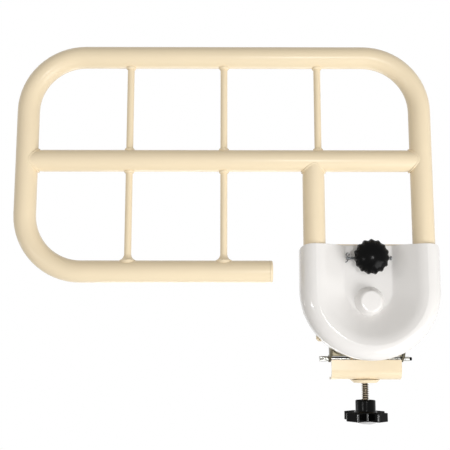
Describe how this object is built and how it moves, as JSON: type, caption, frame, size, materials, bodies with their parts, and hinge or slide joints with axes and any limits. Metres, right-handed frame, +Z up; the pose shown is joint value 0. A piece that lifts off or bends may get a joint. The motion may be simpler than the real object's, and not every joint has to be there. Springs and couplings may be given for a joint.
{
  "type": "swivelling bed rail",
  "caption": "Tube grab rail for a bed that swings on a pivot, held by a round locking knob, with a hook and a screw clamp that grip the bed's side rail.",
  "frame": {"origin": "centre of the rubber face under the hook, which rests on the top of the bed's side rail", "axes": "+X from the rail's free end towards the pivot, +Y from the room into the bed, +Z up"},
  "size_m": [0.5765, 0.124, 0.5214],
  "materials": {
    "cream_coat": "semi-gloss powder coat",
    "white_plastic": "gloss",
    "black_plastic": "satin",
    "zinc_plate": "zinc plated",
    "yellow_zinc": "yellowed zinc plate",
    "black_rubber": "matt",
    "nylon": "matt",
    "brass": "machined",
    "grey_plastic": "satin"
  },
  "bodies": {
    "bracket": {"swivel_plate": "cream_coat", "left_ear": "yellow_zinc", "right_ear": "yellow_zinc", "hook_bracket": "yellow_zinc", "hook_pad": "black_rubber", "web_pad": "black_rubber", "pivot_bolt": "zinc_plate", "pivot_washer": "zinc_plate", "pivot_nut": "zinc_plate", "swivel_washer": "nylon", "hinge_pin": "zinc_plate", "pin_cap": "black_plastic"},
    "rail": {"outer_tube": "cream_coat", "mid_tube": "cream_coat", "upper_rod_left": "cream_coat", "upper_rod_middle": "cream_coat", "upper_rod_right": "cream_coat", "lower_rod_left": "cream_coat", "lower_rod_right": "cream_coat", "end_plug": "cream_coat", "pivot_plate": "cream_coat", "pivot_bush": "nylon", "lock_sleeve": "zinc_plate", "lock_stud": "zinc_plate", "cross_pin": "zinc_plate", "split_pin": "zinc_plate", "front_cover": "white_plastic", "cover_screw_1": "zinc_plate", "cover_screw_2": "zinc_plate", "cover_screw_3": "zinc_plate", "cover_screw_4": "zinc_plate"},
    "lock_washer": {"knob_washer": "zinc_plate"},
    "lock_knob": {"lock_knob": "black_plastic", "knob_insert": "brass"},
    "jaw": {"jaw_plate": "cream_coat", "jaw_lug_left": "cream_coat", "jaw_lug_right": "cream_coat", "jaw_boss": "cream_coat"},
    "clamp_pad": {"pad_cup": "zinc_plate", "pad_rubber": "black_rubber"},
    "clamp_screw": {"clamp_screw": "yellow_zinc", "cross_knob": "black_plastic", "knob_cap": "grey_plastic"}
  },
  "joints": [
    {"name": "rail_swing", "type": "hinge", "parent": "bracket", "child": "rail", "pos_m": [0, -0.045, 0.0155], "axis": [0, 1, 0], "range_deg": [0, 180]},
    {"name": "lock_travel", "type": "slide", "parent": "rail", "child": "lock_washer", "axis": [0, -1, 0], "range_m": [0, 0.0045]},
    {"name": "lock_turn", "type": "hinge", "parent": "lock_washer", "child": "lock_knob", "pos_m": [0, -0.065, 0.074], "axis": [0, -1, 0], "range_deg": [0, 1080]},
    {"name": "jaw_swing", "type": "hinge", "parent": "bracket", "child": "jaw", "pos_m": [0, -0.0165, -0.0615], "axis": [-1, 0, 0], "range_deg": [0, 45]},
    {"name": "clamp_travel", "type": "slide", "parent": "jaw", "child": "clamp_pad", "axis": [0, 0, 1], "range_m": [0, 0.0205]},
    {"name": "clamp_turn", "type": "hinge", "parent": "clamp_pad", "child": "clamp_screw", "pos_m": [0, -0.007, -0.09], "axis": [0, 0, 1], "range_deg": [0, 2400]}
  ],
  "couplings": [
    {"joint": "lock_travel", "follows": "lock_turn", "m_per_rad": 0.0002387},
    {"joint": "clamp_travel", "follows": "clamp_turn", "m_per_rad": 0.0004775}
  ]
}
